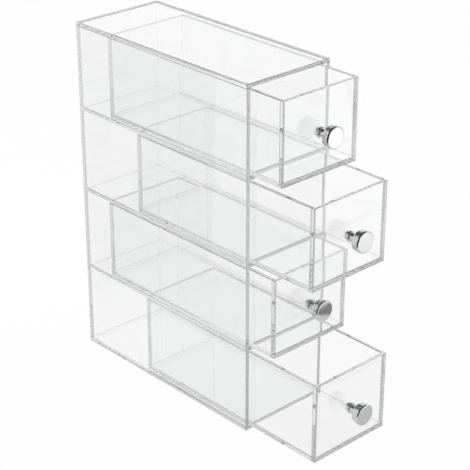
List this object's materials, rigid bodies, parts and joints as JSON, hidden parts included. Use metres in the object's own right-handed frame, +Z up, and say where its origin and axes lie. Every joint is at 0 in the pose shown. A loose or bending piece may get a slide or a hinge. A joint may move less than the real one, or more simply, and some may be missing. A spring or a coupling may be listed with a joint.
{
  "type": "acrylic drawer organizer",
  "caption": "Narrow clear acrylic tower with sliding clear drawers, each with a round chrome knob, for make-up and jewellery.",
  "frame": {"origin": "centre of the case's underside, on the surface that the tower stands on", "axes": "+Z up along the tower's height; -Y is the front, where the drawers come out; +X is to the right of someone who looks at the front"},
  "size_m": [0.076, 0.2562, 0.26],
  "materials": {
    "clear_acrylic": "clear, flame polished edges",
    "polished_chrome": "mirror polished",
    "plated_steel": "bright zinc plated"
  },
  "bodies": {
    "case": {"case_side_left": "clear_acrylic", "case_side_right": "clear_acrylic", "case_top": "clear_acrylic", "case_bottom": "clear_acrylic", "case_back": "clear_acrylic", "case_shelf_1": "clear_acrylic", "case_shelf_2": "clear_acrylic", "case_shelf_3": "clear_acrylic"},
    "drawer_1": {"drawer_1_front": "clear_acrylic", "drawer_1_bottom": "clear_acrylic", "drawer_1_side_left": "clear_acrylic", "drawer_1_side_right": "clear_acrylic", "drawer_1_back": "clear_acrylic", "drawer_1_knob": "polished_chrome", "drawer_1_screw": "plated_steel"},
    "drawer_2": {"drawer_2_front": "clear_acrylic", "drawer_2_bottom": "clear_acrylic", "drawer_2_side_left": "clear_acrylic", "drawer_2_side_right": "clear_acrylic", "drawer_2_back": "clear_acrylic", "drawer_2_knob": "polished_chrome", "drawer_2_screw": "plated_steel"},
    "drawer_3": {"drawer_3_front": "clear_acrylic", "drawer_3_bottom": "clear_acrylic", "drawer_3_side_left": "clear_acrylic", "drawer_3_side_right": "clear_acrylic", "drawer_3_back": "clear_acrylic", "drawer_3_knob": "polished_chrome", "drawer_3_screw": "plated_steel"},
    "drawer_4": {"drawer_4_front": "clear_acrylic", "drawer_4_bottom": "clear_acrylic", "drawer_4_side_left": "clear_acrylic", "drawer_4_side_right": "clear_acrylic", "drawer_4_back": "clear_acrylic", "drawer_4_knob": "polished_chrome", "drawer_4_screw": "plated_steel"}
  },
  "joints": [
    {"name": "drawer_1_slide", "type": "slide", "parent": "case", "child": "drawer_1", "axis": [0, -1, 0], "range_m": [-0.0295, 0.1105]},
    {"name": "drawer_2_slide", "type": "slide", "parent": "case", "child": "drawer_2", "axis": [0, -1, 0], "range_m": [-0.0585, 0.0815]},
    {"name": "drawer_3_slide", "type": "slide", "parent": "case", "child": "drawer_3", "axis": [0, -1, 0], "range_m": [-0.024, 0.116]},
    {"name": "drawer_4_slide", "type": "slide", "parent": "case", "child": "drawer_4", "axis": [0, -1, 0], "range_m": [-0.0645, 0.0755]}
  ]
}
